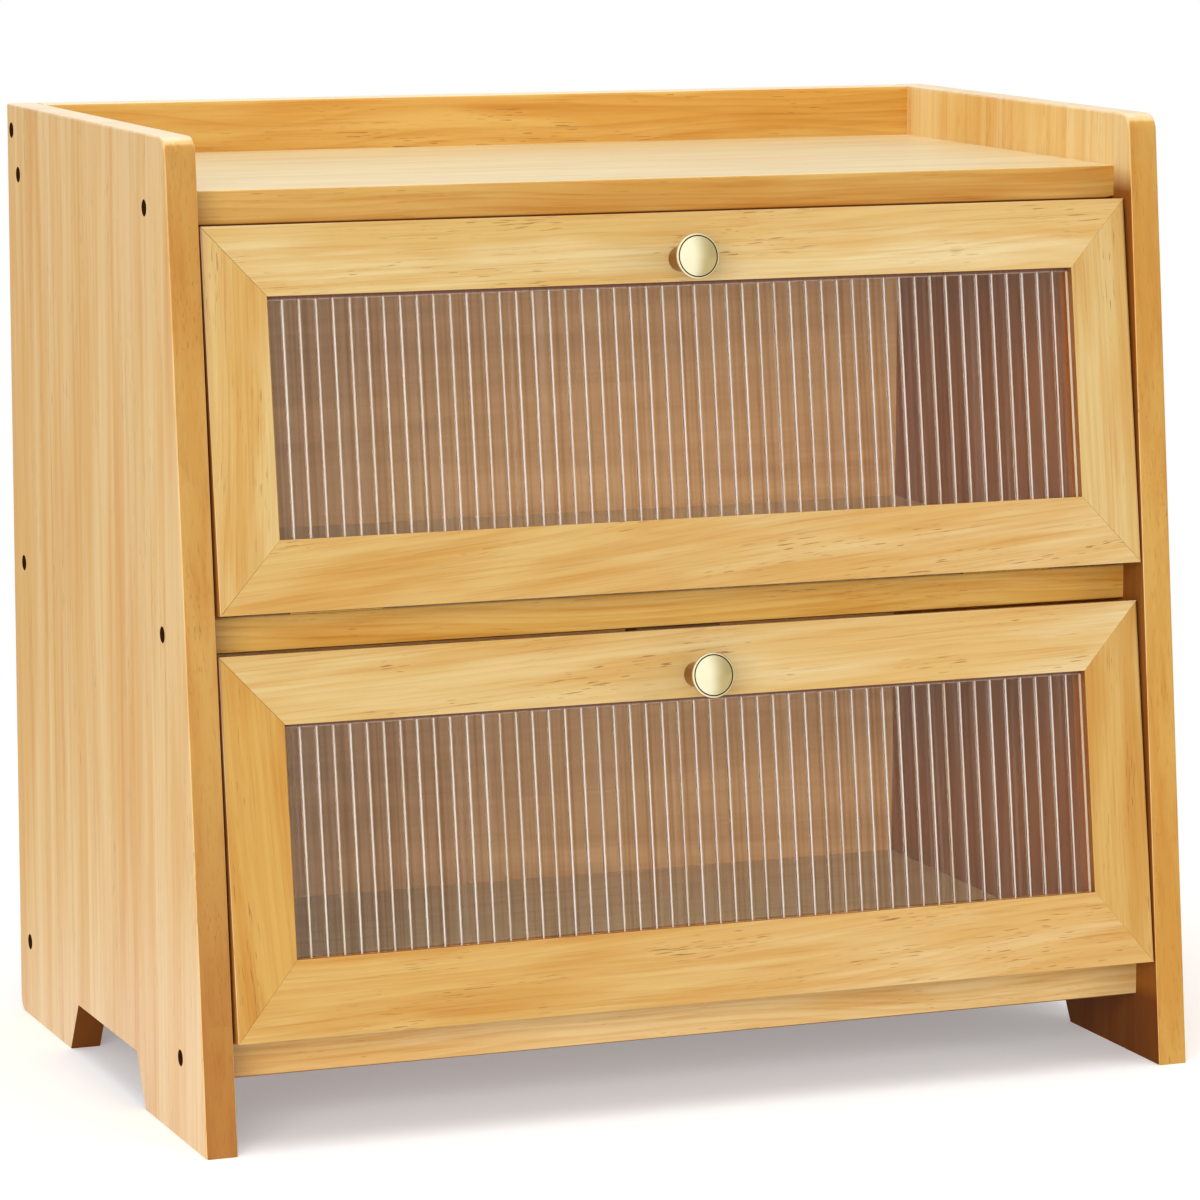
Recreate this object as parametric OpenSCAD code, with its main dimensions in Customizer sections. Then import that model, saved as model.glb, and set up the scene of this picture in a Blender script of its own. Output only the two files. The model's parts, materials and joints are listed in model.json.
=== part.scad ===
// Countertop bread box: two compartments behind drop-down glazed doors,
// raked sides with cut-out feet, and a low gallery round the top.
// Millimetres. X runs across the width, Y to the rear, Z up.
// The origin is on the ground under the middle of the box.

/* [Case] */
// Width over the two sides
case_w = 400; // [300:1:600]
// Depth of a side at its foot
case_d = 254; // [220:1:400]
// Thickness of a side
side_t = 12; // [10:0.5:18]
// How far the front edge of a side leans back from foot to top
side_rake = 40; // [20:1:60]
// Radius of the top front corner of a side
crown_r = 7; // [2:0.5:15]
// Radius of the bottom rear corner of a side
heel_r = 6; // [2:0.5:15]
// Length of the front foot at the ground
front_foot_l = 77; // [50:1:90]
// Length of the rear foot at the ground
rear_foot_l = 74; // [50:1:90]
// Height of the cut-out between the feet
arch_h = 20; // [10:1:22]
// How far each end of the cut-out slants in
arch_slant = 11.5; // [4:0.5:25]

/* [Shelves] */
// Thickness of a shelf
shelf_t = 13.5; // [10:0.5:18]
// Ground to the underside of the bottom shelf
base_h = 24; // [24:0.5:60]
// Clear height of each compartment
tier_h = 141.5; // [120:0.5:220]
// Shelf front edge behind the hinge axis above it
shelf_gap = 3.2; // [2.5:0.1:6]
// Top shelf front edge behind the upper door's front top corner
top_setback = 11.4; // [6:0.2:20]
// Height of the gallery above the top shelf
gallery_h = 20.5; // [14:0.5:60]
// Thickness of the gallery rail
rail_t = 12; // [9:0.5:18]
// Thickness of the back panel
panel_t = 3.5; // [3:0.5:6]

/* [Doors] */
// Thickness of a door frame
door_t = 12; // [10:0.5:14]
// How far a closed door leans back, in degrees
door_lean = 8.2; // [6:0.1:10]
// Gap between a door and each side
door_side_gap = 1.5; // [0.5:0.1:4]
// Closed door's front bottom corner in front of the sides' front edge
door_proud = 1.4; // [0:0.1:4]
// How far a closed door's front top corner stands above the underside of the shelf behind it
door_lap = 1.5; // [0:0.1:2]
// How far a door reaches below its hinge axis
door_drop = 1.5; // [1:0.1:2]
// Width of a top rail
top_rail_w = 26; // [24:0.5:40]
// Width of the upper door's bottom rail
upper_bottom_rail_w = 26.5; // [24:0.5:40]
// Width of the lower door's bottom rail
lower_bottom_rail_w = 29; // [24:0.5:40]
// Width of a stile
stile_w = 24; // [15:0.5:40]

/* [Windows] */
// Window front behind the frame's front face
window_inset = 3.5; // [2:0.5:5]
// Thickness of the sheet between its ribs
sheet_t = 1.4; // [1:0.1:2]
// Height of a rib in front of the sheet
rib_r = 0.6; // [0.3:0.1:0.8]
// Spacing of the ribs
rib_pitch = 6.5; // [4:0.5:20]
// How far the sheet reaches into its groove
tongue = 5; // [3:0.5:7]
// Clearance round the sheet in its groove
groove_gap = 0.1; // [0.05:0.05:0.3]

/* [Knobs] */
// Diameter of a knob's cap
knob_d = 17; // [12:0.5:24]
// Diameter of a knob's stem
knob_stem_d = 9.6; // [8:0.2:11]
// How far a knob stands out from the door
knob_l = 20; // [16:0.5:20]
// Knob centre below the door's top edge
knob_drop = 17.5; // [16:0.5:20]
// Radius of a knob screw
knob_screw_r = 2; // [1.5:0.1:2.5]

/* [Hinges] */
// Length of a hinge
hinge_l = 36; // [30:1:60]
// Hinge centre in from the end of the door
hinge_inset = 50; // [45:1:70]
// Radius of a hinge knuckle
knuckle_r = 2.1; // [1.8:0.1:2.2]
// Radius of a hinge pin
pin_r = 1; // [0.7:0.05:1.1]
// Radial clearance of a pin in its knuckles
pin_gap = 0.05; // [0.02:0.01:0.1]
// Thickness of a hinge leaf
leaf_t = 1.2; // [1:0.1:1.3]
// Reach of a hinge leaf from the axis
leaf_l = 16; // [14:0.5:20]
// Height of the hinge axis above the shelf
axis_h = 2.9; // [2.7:0.1:3.2]

/* [Catches] */
// Width of a catch body
catch_w = 34; // [30:1:50]
// Height of a catch body
catch_h = 14; // [13:0.5:18]
// Depth of a catch body
catch_d = 12; // [10:0.5:20]
// Width of a strike plate
strike_w = 30; // [26:1:40]
// Thickness of a strike plate
strike_t = 1.2; // [0.8:0.1:1.5]

/* [Screws] */
// Radius of a case screw's head
case_head_r = 2.8; // [2.4:0.1:3.4]
// Radius of a case screw's shank
case_shank_r = 1.75; // [1.2:0.05:2]
// Length of a case screw's shank inside the shelf
case_grip = 25; // [15:1:30]
// Front case screws behind the sides' front edge
front_screw_inset = 28.5; // [25:0.5:50]
// Rear case screws in from the sides' rear edge
rear_screw_inset = 15; // [12:0.5:40]
// Radius of a small countersunk screw's head
small_head_r = 2.4; // [2:0.1:2.8]
// Radius of a small countersunk screw's shank
small_shank_r = 1.25; // [0.9:0.05:1.4]
// Length of a small screw's shank inside the wood
small_grip = 8; // [5:0.5:8.5]

/* [Hidden] */
$fn = 48;

// The two tiers, by the number of the shelf under each
lower = 0;
upper = 1;
// The two ends, by the sign of X
left = -1;
right = 1;

// Cut tools reach this far past a face that they open
cut = 1;
// Clearance round a screw shank and its head
screw_gap = 0.1;
// Clearance between parts that pass each other on the hinge
turn_gap = 0.3;
// Clearance between the magnet and the strike plate of a closed door
catch_gap = 0.1;

pale_pine = "#E6C385";
warm_pine = "#DDB173";
honey_pine = "#D2A05C";
ply = "#B39777";
clear_acrylic = [0.92, 0.94, 0.95, 0.35];
brass = "#DCCF93";
plated_steel = "#C9B27A";
zinc = "#A9ABAD";
brown_plastic = "#7A5A3A";
magnet_black = "#3C3C3E";

// Case
rear_y = case_d / 2;
case_h = base_h + 3 * shelf_t + 2 * tier_h + gallery_h;
inner_w = case_w - 2 * side_t;
function shelf_z(n) = base_h + n * (shelf_t + tier_h);
function shelf_top(n) = shelf_z(n) + shelf_t;
function shelf_mid(n) = shelf_z(n) + shelf_t / 2;
function front_edge_y(z) = -case_d / 2 + side_rake * z / case_h;
gallery_mid = shelf_top(2) + gallery_h / 2;

// Doors, drawn about their hinge axis, upright, with their back face towards +Y
axis_off = knuckle_r + turn_gap;
door_front = -axis_off - door_t;
door_back = -axis_off;
door_w = inner_w - 2 * door_side_gap;
door_bottom = -door_drop;
door_top = (tier_h - axis_h + door_front * sin(door_lean) + door_lap) / cos(door_lean);
function bottom_rail_w(tier) = tier == upper ? upper_bottom_rail_w : lower_bottom_rail_w;
open_w = door_w - 2 * stile_w;
open_top = door_top - top_rail_w;
function open_bottom(tier) = door_bottom + bottom_rail_w(tier);
function axis_z(tier) = shelf_top(tier) + axis_h;
function corner_z(tier) = axis_z(tier) - door_front * sin(door_lean) + door_bottom * cos(door_lean);
function axis_y(tier) =
    front_edge_y(corner_z(tier)) - door_proud - door_front * cos(door_lean) - door_bottom * sin(door_lean);
top_corner_y = axis_y(upper) + door_front * cos(door_lean) + door_top * sin(door_lean);
function shelf_front(n) = n == 2 ? top_corner_y + top_setback : axis_y(n) + shelf_gap;

// Hinges
hinge_x = door_w / 2 - hinge_inset;
mid_knuckle_l = hinge_l / 3;
leaf_start = knuckle_r + turn_gap;
leaf_screw_x = hinge_l / 2 - 7;
leaf_screw_reach = (leaf_l + leaf_start) / 2 + 1;
// A leaf steps over to its knuckle through a lap as thick as the leaf
lap_l = leaf_start + leaf_t;

// Knob
knob_z = door_top - knob_drop;
knob_r = knob_d / 2;
rim_t = 1.2;
rim_w = 1;
dome_h = 2.4;
dome_base = knob_l - dome_h;
dome_r = ((knob_r - rim_w) ^ 2 + dome_h ^ 2) / (2 * dome_h);
knob_thread_l = 7;
knob_head_r = 3.6;
knob_head_h = 2.2;

// Catch
strike_h = 10;
strike_z = door_top - 2 - strike_h / 2;
strike_screw_x = strike_w / 2 - 4;
magnet_w = 14;
magnet_h = 8;
magnet_d = 9;
// The body stands back from the magnet's face
magnet_nose = 2.4;
catch_screw_x = catch_w / 2 - 5;
catch_screw_head_h = 2;
function magnet_y(tier) =
    axis_y(tier) + strike_z * sin(door_lean) + (door_back + strike_t + catch_gap) * cos(door_lean);
function catch_front(tier) = magnet_y(tier) + magnet_nose;
function catch_screw_y(tier) = catch_front(tier) + catch_d / 2;

// Case screws: the head sits at the foot of a counterbore
counterbore_r = case_head_r + 0.3;
counterbore_depth = 4.5;
case_head_h = 2.5;
case_pilot_r = case_shank_r + screw_gap;
function screw_spots() = [
    [rear_y - rail_t / 2, gallery_mid],
    for (n = [0:2]) [front_edge_y(shelf_mid(n)) + front_screw_inset, shelf_mid(n)],
    for (n = [0:2]) [rear_y - rear_screw_inset, shelf_mid(n)]
];
small_pilot_r = small_shank_r + screw_gap;
panel_screw_x = case_w * 0.3;

function unit(v) = v / norm(v);

// ---- shared shapes ----

// Waste outside a round of radius r at the corner between two outline points
module corner_waste(before, corner, after, r) {
    a = unit(before - corner);
    b = unit(after - corner);
    half = acos(a * b) / 2;
    middle = corner + unit(a + b) * r / sin(half);
    difference() {
        polygon([
            middle, corner + a * r / tan(half), corner + (corner - middle) * 0.5,
            corner + b * r / tan(half)
        ]);
        translate(middle) circle(r);
    }
}

// A cross recess in a screw head whose face is at z = 0
module cross_recess(size, depth) {
    width = size * 0.28;
    for (turn = [0, 90])
        rotate([0, 0, turn])
            translate([-size / 2, -width / 2, -depth])
                cube([size, width, depth + cut]);
}

// A countersunk screw: face at z = 0, head as tall as the plate it holds, shank downwards
module small_screw(plate_t, grip = small_grip) {
    difference() {
        union() {
            translate([0, 0, -plate_t]) cylinder(h = plate_t, r1 = small_shank_r, r2 = small_head_r);
            translate([0, 0, -plate_t - grip]) cylinder(h = grip, r = small_shank_r);
        }
        cross_recess(small_head_r * 1.2, plate_t * 0.5);
    }
}

// The hole for that screw, through its plate
module small_countersink(plate_t) {
    translate([0, 0, -plate_t])
        cylinder(h = plate_t, r1 = small_shank_r + screw_gap, r2 = small_head_r + screw_gap);
    translate([0, 0, -plate_t - cut]) cylinder(h = plate_t + cut, r = small_pilot_r);
    cylinder(h = cut, r = small_head_r + screw_gap);
}

// The pilot for that screw's shank, downwards from the wood's face at z = 0
module small_pilot(grip = small_grip) {
    translate([0, 0, -grip - screw_gap]) cylinder(h = grip + screw_gap + cut, r = small_pilot_r);
}

// Places children on a tier's hinge axis, level or leaning as its closed door does
module on_axis(tier) translate([0, axis_y(tier), axis_z(tier)]) children();
module on_door(tier) on_axis(tier) rotate([-door_lean, 0, 0]) children();

// Turns z = 0 shapes to look out of a door's back face, or down out of a shelf's underside
module face_rear() rotate([-90, 0, 0]) children();
module face_down() rotate([180, 0, 0]) children();

// Spots of the screws in the two leaves on one tier
module leaf_screw_spots() {
    for (end = [left, right], side = [left, right])
        translate([end * hinge_x + side * leaf_screw_x, 0, 0]) children();
}

// ---- case ----

module side_outline() {
    front_foot = [-case_d / 2, 0];
    front_top = [-case_d / 2 + side_rake, case_h];
    rear_top = [rear_y, case_h];
    rear_foot = [rear_y, 0];
    arch_rear = rear_y - rear_foot_l;
    arch_front = -case_d / 2 + front_foot_l;
    difference() {
        polygon([
            front_foot, front_top, rear_top, rear_foot, [arch_rear, 0], [arch_rear - arch_slant, arch_h],
            [arch_front + arch_slant, arch_h], [arch_front, 0]
        ]);
        corner_waste(front_foot, front_top, rear_top, crown_r);
        corner_waste(rear_top, rear_foot, front_foot, heel_r);
    }
}

// Runs along X, outwards from the box at one end
module case_screw_run(end) rotate([0, 90 * end, 0]) children();

module side_panel(end) {
    color(warm_pine)
        difference() {
            translate([end == left ? -case_w / 2 : inner_w / 2, 0, 0])
                rotate([90, 0, 90])
                    linear_extrude(side_t) side_outline();
            for (spot = screw_spots())
                translate([end * case_w / 2, spot.x, spot.y])
                    case_screw_run(end) {
                        translate([0, 0, -counterbore_depth])
                            cylinder(h = counterbore_depth + cut, r = counterbore_r);
                        translate([0, 0, -side_t - cut]) cylinder(h = side_t + cut, r = case_pilot_r);
                    }
        }
}

module case_screws(end) {
    shank_l = side_t - counterbore_depth + case_grip;
    color(zinc)
        for (spot = screw_spots())
            translate([end * (case_w / 2 - counterbore_depth), spot.x, spot.y])
                case_screw_run(end)
                    difference() {
                        union() {
                            cylinder(h = case_head_h, r = case_head_r);
                            translate([0, 0, -shank_l]) cylinder(h = shank_l, r = case_shank_r);
                        }
                        translate([0, 0, case_head_h]) cross_recess(case_head_r * 1.3, 1.4);
                    }
}

// Pilot holes for the case screws whose spots lie between two heights
module case_pilots(low, high) {
    for (end = [left, right], spot = screw_spots())
        if (spot.y > low && spot.y < high)
            translate([end * inner_w / 2, spot.x, spot.y])
                case_screw_run(end)
                    translate([0, 0, -case_grip - screw_gap])
                        cylinder(h = case_grip + screw_gap + cut, r = case_pilot_r);
}

// Pilots for the screws that hold the back panel to a shelf
module panel_pilots() {
    for (x = [-panel_screw_x, 0, panel_screw_x])
        translate([x, rear_y - panel_t, 0]) face_rear() small_pilot();
}

module shelf(n) {
    color(n == 2 ? pale_pine : warm_pine)
        difference() {
            translate([-inner_w / 2, shelf_front(n), shelf_z(n)])
                cube([inner_w, rear_y - panel_t - shelf_front(n), shelf_t]);
            case_pilots(shelf_z(n), shelf_top(n));
            translate([0, 0, shelf_mid(n)]) panel_pilots();
            if (n <= upper)
                translate([0, axis_y(n) + leaf_screw_reach, shelf_top(n)])
                    leaf_screw_spots() small_pilot();
            if (n >= 1)
                for (end = [left, right])
                    translate([end * catch_screw_x, catch_screw_y(n - 1), shelf_z(n)])
                        face_down() small_pilot();
        }
}

module back_rail() {
    color(honey_pine)
        difference() {
            translate([-inner_w / 2, rear_y - rail_t, shelf_top(2)]) cube([inner_w, rail_t, gallery_h]);
            case_pilots(shelf_top(2), case_h);
        }
}

module back_panel() {
    color(ply)
        difference() {
            translate([-inner_w / 2, rear_y - panel_t, base_h])
                cube([inner_w, panel_t, shelf_top(2) - base_h]);
            for (n = [0:2], x = [-panel_screw_x, 0, panel_screw_x])
                translate([x, rear_y, shelf_mid(n)]) face_rear() small_countersink(panel_t);
        }
}

module back_panel_screws() {
    color(zinc)
        for (n = [0:2], x = [-panel_screw_x, 0, panel_screw_x])
            translate([x, rear_y, shelf_mid(n)]) face_rear() small_screw(panel_t);
}

// ---- hinges ----

module knuckle(from, to) {
    translate([from, 0, 0]) rotate([0, 90, 0]) cylinder(h = to - from, r = knuckle_r);
}

module knuckle_bore() {
    translate([-hinge_l / 2 - cut, 0, 0])
        rotate([0, 90, 0]) cylinder(h = hinge_l + 2 * cut, r = pin_r + pin_gap);
}

// The leaf on the shelf, with the two outer knuckles
module fixed_leaf(tier, end) {
    color(plated_steel)
        on_axis(tier) translate([end * hinge_x, 0, 0])
            difference() {
                union() {
                    translate([-hinge_l / 2, leaf_start, -axis_h])
                        cube([hinge_l, leaf_l - leaf_start, leaf_t]);
                    for (side = [left, right]) {
                        inner = side * (mid_knuckle_l + turn_gap) / 2;
                        outer = side * hinge_l / 2;
                        knuckle(min(inner, outer), max(inner, outer));
                        translate([min(inner, outer), 0, -knuckle_r])
                            cube([abs(outer - inner), lap_l, leaf_t]);
                    }
                }
                knuckle_bore();
                for (side = [left, right])
                    translate([side * leaf_screw_x, leaf_screw_reach, leaf_t - axis_h])
                        small_countersink(leaf_t);
            }
}

// The leaf on the door, with the middle knuckle
module door_leaf(tier, end) {
    half = (mid_knuckle_l - turn_gap) / 2;
    color(plated_steel)
        on_door(tier) translate([end * hinge_x, 0, 0])
            difference() {
                union() {
                    translate([-hinge_l / 2, door_back, leaf_start])
                        cube([hinge_l, leaf_t, leaf_l - leaf_start]);
                    knuckle(-half, half);
                    translate([-half, -knuckle_r, 0]) cube([2 * half, leaf_t, lap_l]);
                }
                knuckle_bore();
                for (side = [left, right])
                    translate([side * leaf_screw_x, door_back + leaf_t, leaf_screw_reach])
                        face_rear() small_countersink(leaf_t);
            }
}

module hinge_pin(tier, end) {
    color(plated_steel)
        on_axis(tier) translate([end * hinge_x - hinge_l / 2, 0, 0])
            rotate([0, 90, 0]) cylinder(h = hinge_l, r = pin_r);
}

module fixed_leaf_screws(tier) {
    color(zinc)
        on_axis(tier)
            translate([0, leaf_screw_reach, leaf_t - axis_h]) leaf_screw_spots() small_screw(leaf_t);
}

module door_leaf_screws(tier) {
    color(zinc)
        on_door(tier)
            translate([0, door_back + leaf_t, leaf_screw_reach])
                leaf_screw_spots() face_rear() small_screw(leaf_t);
}

// ---- catches ----

// The magnet's block, grown all round by a gap
module magnet_block(tier, gap) {
    on_door(tier)
        translate([-magnet_w / 2 - gap, door_back + strike_t + catch_gap, strike_z - magnet_h / 2 - gap])
            cube([magnet_w + 2 * gap, magnet_d + gap, magnet_h + 2 * gap]);
}

module catch_body(tier) {
    color(brown_plastic)
        difference() {
            translate([-catch_w / 2, catch_front(tier), shelf_z(tier + 1) - catch_h])
                cube([catch_w, catch_d, catch_h]);
            magnet_block(tier, groove_gap);
            for (end = [left, right])
                translate([end * catch_screw_x, catch_screw_y(tier), shelf_z(tier + 1) - catch_h]) {
                    translate([0, 0, -cut]) cylinder(h = catch_h + 2 * cut, r = small_pilot_r);
                    translate([0, 0, -cut])
                        cylinder(h = catch_h / 2 + cut, r = small_head_r + screw_gap);
                }
        }
}

module catch_magnet(tier) color(magnet_black) magnet_block(tier, 0);

module catch_screws(tier) {
    color(zinc)
        for (end = [left, right])
            translate([end * catch_screw_x, catch_screw_y(tier), shelf_z(tier + 1) - catch_h / 2])
                face_down()
                    difference() {
                        union() {
                            cylinder(h = catch_screw_head_h, r = small_head_r);
                            translate([0, 0, -catch_h / 2 - small_grip])
                                cylinder(h = catch_h / 2 + small_grip, r = small_shank_r);
                        }
                        translate([0, 0, catch_screw_head_h]) cross_recess(small_head_r * 1.2, 1);
                    }
}

module strike_plate(tier) {
    color(zinc)
        on_door(tier)
            difference() {
                translate([-strike_w / 2, door_back, strike_z - strike_h / 2])
                    cube([strike_w, strike_t, strike_h]);
                for (end = [left, right])
                    translate([end * strike_screw_x, door_back + strike_t, strike_z])
                        face_rear() small_countersink(strike_t);
            }
}

module strike_screws(tier) {
    color(zinc)
        on_door(tier)
            for (end = [left, right])
                translate([end * strike_screw_x, door_back + strike_t, strike_z])
                    face_rear() small_screw(strike_t);
}

// ---- doors ----

// A frame member from its outline in X and Z, grooved for the window
module frame_member(tier, outline) {
    groove_r = tongue + groove_gap;
    difference() {
        translate([0, door_back, 0]) rotate([90, 0, 0]) linear_extrude(door_t) polygon(outline);
        translate([
            -open_w / 2 - groove_r, door_front + window_inset - groove_gap, open_bottom(tier) - groove_r
        ])
            cube([
                open_w + 2 * groove_r, rib_r + sheet_t + 2 * groove_gap,
                open_top - open_bottom(tier) + 2 * groove_r
            ]);
    }
}

// Outline of the rail whose outer edge is at one height and inner edge at another
function rail_outline(outer_z, inner_z) =
    [[-door_w / 2, outer_z], [door_w / 2, outer_z], [open_w / 2, inner_z], [-open_w / 2, inner_z]];

function stile_outline(tier, end) = [
    [end * door_w / 2, door_bottom], [end * door_w / 2, door_top],
    [end * open_w / 2, open_top], [end * open_w / 2, open_bottom(tier)]
];

module door_top_rail(tier) {
    color(pale_pine)
        on_door(tier)
            difference() {
                frame_member(tier, rail_outline(door_top, open_top));
                translate([0, door_front - cut, knob_z])
                    face_rear() cylinder(h = door_t + 2 * cut, r = knob_screw_r + screw_gap);
                for (end = [left, right])
                    translate([end * strike_screw_x, door_back, strike_z]) face_rear() small_pilot();
            }
}

module door_bottom_rail(tier) {
    color(pale_pine)
        on_door(tier)
            difference() {
                frame_member(tier, rail_outline(door_bottom, open_bottom(tier)));
                translate([0, door_back, leaf_screw_reach])
                    leaf_screw_spots() face_rear() small_pilot();
            }
}

module door_stile(tier, end) color(pale_pine) on_door(tier) frame_member(tier, stile_outline(tier, end));

module window(tier) {
    rib_count = floor((open_w / 2 - rib_r) / rib_pitch);
    sheet_front = door_front + window_inset + rib_r;
    color(clear_acrylic)
        on_door(tier)
            translate([0, sheet_front, open_bottom(tier) - tongue])
                linear_extrude(open_top - open_bottom(tier) + 2 * tongue) {
                    translate([-open_w / 2 - tongue, 0]) square([open_w + 2 * tongue, sheet_t]);
                    for (i = [-rib_count:rib_count]) translate([i * rib_pitch, 0]) circle(rib_r);
                }
}

// Half of a knob's section: X is the radius, Y the distance from the door
module knob_section() {
    stem_r = knob_stem_d / 2;
    flare_r = knob_r - stem_r;
    rim_base = dome_base - rim_t;
    difference() {
        square([knob_r, dome_base]);
        translate([stem_r, -cut]) square([knob_r, rim_base - flare_r + cut]);
        translate([knob_r, rim_base - flare_r]) circle(flare_r);
        translate([knob_r - rim_w, dome_base - rim_t / 2]) square([rim_w / 3, rim_t]);
    }
    intersection() {
        translate([0, knob_l - dome_r]) circle(dome_r);
        translate([0, dome_base - rim_t / 2]) square([knob_r - rim_w, knob_l]);
    }
}

module knob(tier) {
    color(brass)
        on_door(tier)
            translate([0, door_front, knob_z])
                rotate([90, 0, 0])
                    difference() {
                        rotate_extrude() knob_section();
                        translate([0, 0, -cut])
                            cylinder(h = knob_thread_l + cut + screw_gap, r = knob_screw_r + screw_gap);
                    }
}

module knob_screw(tier) {
    shank_l = door_t + knob_thread_l;
    color(zinc)
        on_door(tier)
            translate([0, door_back, knob_z])
                face_rear()
                    difference() {
                        union() {
                            cylinder(h = knob_head_h, r = knob_head_r);
                            translate([0, 0, -shank_l]) cylinder(h = shank_l, r = knob_screw_r);
                        }
                        translate([0, 0, knob_head_h]) cross_recess(knob_head_r * 1.2, 1.2);
                    }
}

// ---- nodes ----

side_panel(left);  // side_left
side_panel(right);  // side_right
shelf(0);  // bottom_shelf
shelf(1);  // mid_shelf
shelf(2);  // top_shelf
back_rail();
back_panel();
case_screws(left);  // side_screws_left
case_screws(right);  // side_screws_right
back_panel_screws();
fixed_leaf(upper, left);  // upper_fixed_leaf_left
fixed_leaf(upper, right);  // upper_fixed_leaf_right
hinge_pin(upper, left);  // upper_hinge_pin_left
hinge_pin(upper, right);  // upper_hinge_pin_right
fixed_leaf_screws(upper);  // upper_fixed_leaf_screws
catch_body(upper);  // upper_catch_body
catch_magnet(upper);  // upper_catch_magnet
catch_screws(upper);  // upper_catch_screws
fixed_leaf(lower, left);  // lower_fixed_leaf_left
fixed_leaf(lower, right);  // lower_fixed_leaf_right
hinge_pin(lower, left);  // lower_hinge_pin_left
hinge_pin(lower, right);  // lower_hinge_pin_right
fixed_leaf_screws(lower);  // lower_fixed_leaf_screws
catch_body(lower);  // lower_catch_body
catch_magnet(lower);  // lower_catch_magnet
catch_screws(lower);  // lower_catch_screws
door_top_rail(upper);  // upper_door_top_rail
door_bottom_rail(upper);  // upper_door_bottom_rail
door_stile(upper, left);  // upper_door_left_stile
door_stile(upper, right);  // upper_door_right_stile
window(upper);  // upper_window
knob(upper);  // upper_knob
knob_screw(upper);  // upper_knob_screw
door_leaf(upper, left);  // upper_door_leaf_left
door_leaf(upper, right);  // upper_door_leaf_right
door_leaf_screws(upper);  // upper_door_leaf_screws
strike_plate(upper);  // upper_strike_plate
strike_screws(upper);  // upper_strike_screws
door_top_rail(lower);  // lower_door_top_rail
door_bottom_rail(lower);  // lower_door_bottom_rail
door_stile(lower, left);  // lower_door_left_stile
door_stile(lower, right);  // lower_door_right_stile
window(lower);  // lower_window
knob(lower);  // lower_knob
knob_screw(lower);  // lower_knob_screw
door_leaf(lower, left);  // lower_door_leaf_left
door_leaf(lower, right);  // lower_door_leaf_right
door_leaf_screws(lower);  // lower_door_leaf_screws
strike_plate(lower);  // lower_strike_plate
strike_screws(lower);  // lower_strike_screws
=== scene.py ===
"""Looks of a countertop bread box: lacquered pine boards, drop-down doors with ribbed acrylic windows,
turned brass knobs and plated hardware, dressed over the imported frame."""

import json
import math

import bmesh
import bpy
from mathutils import Matrix, Vector


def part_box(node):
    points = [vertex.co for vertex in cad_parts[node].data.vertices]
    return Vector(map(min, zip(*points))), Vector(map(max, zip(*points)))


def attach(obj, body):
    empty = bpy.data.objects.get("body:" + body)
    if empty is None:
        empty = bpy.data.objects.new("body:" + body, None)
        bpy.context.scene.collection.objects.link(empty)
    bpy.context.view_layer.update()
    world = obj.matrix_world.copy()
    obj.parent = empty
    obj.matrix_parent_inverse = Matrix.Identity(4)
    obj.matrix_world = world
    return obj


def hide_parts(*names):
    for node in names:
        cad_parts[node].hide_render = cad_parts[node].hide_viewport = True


bl_info = {
    "name": "Bread Box Dressing",
    "version": (1, 0, 0),
    "blender": (4, 5, 0),
    "location": "3D View > Sidebar > Bread Box",
    "description": "Dresses the bread box frame in lacquered pine, ribbed acrylic and brass",
    "category": "Object",
}

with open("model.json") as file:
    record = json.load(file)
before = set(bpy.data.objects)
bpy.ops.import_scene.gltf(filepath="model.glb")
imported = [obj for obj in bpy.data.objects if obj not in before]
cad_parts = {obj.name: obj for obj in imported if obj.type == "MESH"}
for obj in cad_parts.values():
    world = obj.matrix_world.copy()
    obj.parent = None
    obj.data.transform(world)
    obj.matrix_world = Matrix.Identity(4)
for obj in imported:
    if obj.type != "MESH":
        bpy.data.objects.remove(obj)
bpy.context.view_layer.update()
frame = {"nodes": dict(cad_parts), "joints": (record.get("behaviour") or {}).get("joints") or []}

MM = 0.001
TOUCH = 0.01 * MM  # Places closer together than this count as one
TIERS = ("upper", "lower")
ENDS = ("left", "right")

# Directions in the row frame
FORWARD = (0, -1, 0)
UP = (0, 0, 1)
DOWN = (0, 0, -1)
RIGHT = (1, 0, 0)


def linear(code):
    """The linear colour, with alpha, of an sRGB hex code such as E0B97F."""
    parts = [int(code[i:i + 2], 16) / 255 for i in (0, 2, 4)]
    return (*(p / 12.92 if p <= 0.04045 else ((p + 0.055) / 1.055) ** 2.4 for p in parts), 1)


def length_setting(name, description, default, low=0.0, high=1.0):
    """A length a user may change, in metres."""
    return bpy.props.FloatProperty(
        name=name, description=description, default=default, min=low, max=high, precision=5, unit="LENGTH"
    )


def angle_setting(name, description, default):
    """An angle a user may change, in radians."""
    return bpy.props.FloatProperty(name=name, description=description, default=default, subtype="ANGLE")


def number_setting(name, description, default, low=0.0, high=1000.0):
    """A plain number a user may change."""
    return bpy.props.FloatProperty(name=name, description=description, default=default, min=low, max=high)


def place_setting(name, description, default):
    """A point a user may change, in metres."""
    return bpy.props.FloatVectorProperty(
        name=name, description=description, default=default, subtype="TRANSLATION", unit="LENGTH", precision=5
    )


def colour_setting(name, description, code):
    """A colour a user may change."""
    return bpy.props.FloatVectorProperty(
        name=name, description=description, default=linear(code), size=4, min=0, max=1, subtype="COLOR"
    )


# ---- settings ----


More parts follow.
